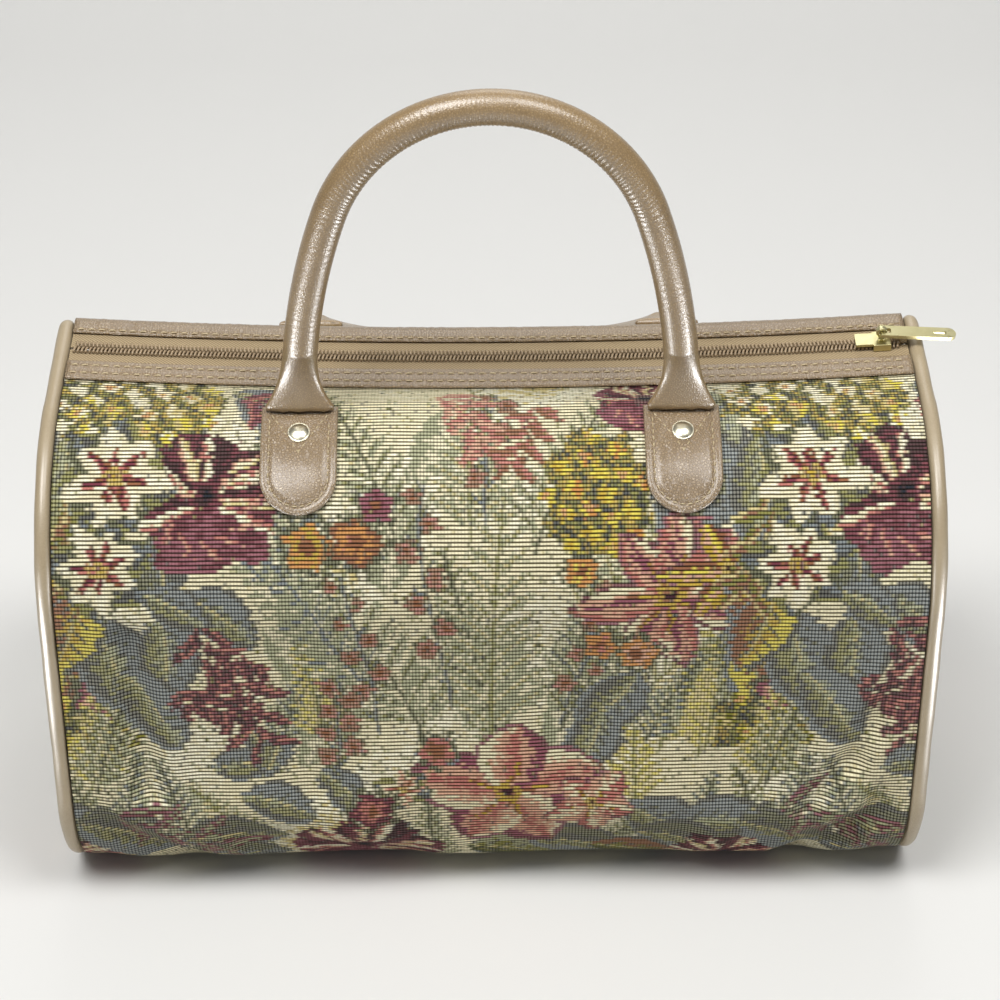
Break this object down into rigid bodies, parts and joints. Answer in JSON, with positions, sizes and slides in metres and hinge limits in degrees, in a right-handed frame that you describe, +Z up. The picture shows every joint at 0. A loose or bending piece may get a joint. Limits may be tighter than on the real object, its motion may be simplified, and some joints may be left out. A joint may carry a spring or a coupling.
{
  "type": "carpet bag",
  "caption": "Zipped tapestry carpet bag: a soft barrel with piped ends, a coil zip along the top, rolled handles on riveted tabs and a swinging zip pull.",
  "frame": {"origin": "middle of the flat underside, where the bag rests", "axes": "+X along the bag toward the slider, +Z up, the front handle's side toward -Y"},
  "size_m": [0.3617, 0.2425, 0.3333],
  "materials": {
    "tapestry": "ribbed floral jacquard weave",
    "piping_vinyl": "satin vinyl",
    "trim_leatherette": "pebbled leatherette",
    "zip_tape": "twill tape",
    "zip_coil": "nylon coil",
    "base_board": "plain board",
    "rivet_brass": "polished",
    "zip_brass": "polished",
    "handle_core": "cotton cord",
    "thread": "sewing thread"
  },
  "bodies": {
    "bag": {"body_panel": "tapestry", "left_end_panel": "tapestry", "right_end_panel": "tapestry", "left_piping": "piping_vinyl", "right_piping": "piping_vinyl", "front_band": "trim_leatherette", "rear_band": "trim_leatherette", "front_zip_tape": "zip_tape", "rear_zip_tape": "zip_tape", "front_zip_coil": "zip_coil", "rear_zip_coil": "zip_coil", "base_board": "base_board", "front_left_tab": "trim_leatherette", "front_right_tab": "trim_leatherette", "rear_left_tab": "trim_leatherette", "rear_right_tab": "trim_leatherette", "handle_rivets": "rivet_brass", "rivet_washers": "rivet_brass"},
    "front_grip": {"front_handle": "trim_leatherette", "front_handle_core": "handle_core"},
    "rear_grip": {"rear_handle": "trim_leatherette", "rear_handle_core": "handle_core"},
    "slider": {"zip_slider": "zip_brass"},
    "pull": {"zip_pull": "zip_brass"}
  },
  "joints": [
    {"name": "front_handle_swing", "type": "hinge", "parent": "bag", "child": "front_grip", "pos_m": [0, -0.04699, 0.20453], "axis": [1, 0, 0], "range_deg": [-14, 92]},
    {"name": "rear_handle_swing", "type": "hinge", "parent": "bag", "child": "rear_grip", "pos_m": [0, 0.03478, 0.19917], "axis": [1, 0, 0], "range_deg": [0, 133]},
    {"name": "slider_travel", "type": "hinge", "parent": "bag", "child": "slider", "pos_m": [0, -0.46431, 2.51166], "axis": [0, 0.9806, 0.1961], "range_deg": [0, 7.49]},
    {"name": "pull_swing", "type": "hinge", "parent": "slider", "child": "pull", "pos_m": [0.15705, -0.0048, 0.21411], "axis": [0, -0.9806, -0.1961], "range_deg": [0, 190]}
  ]
}
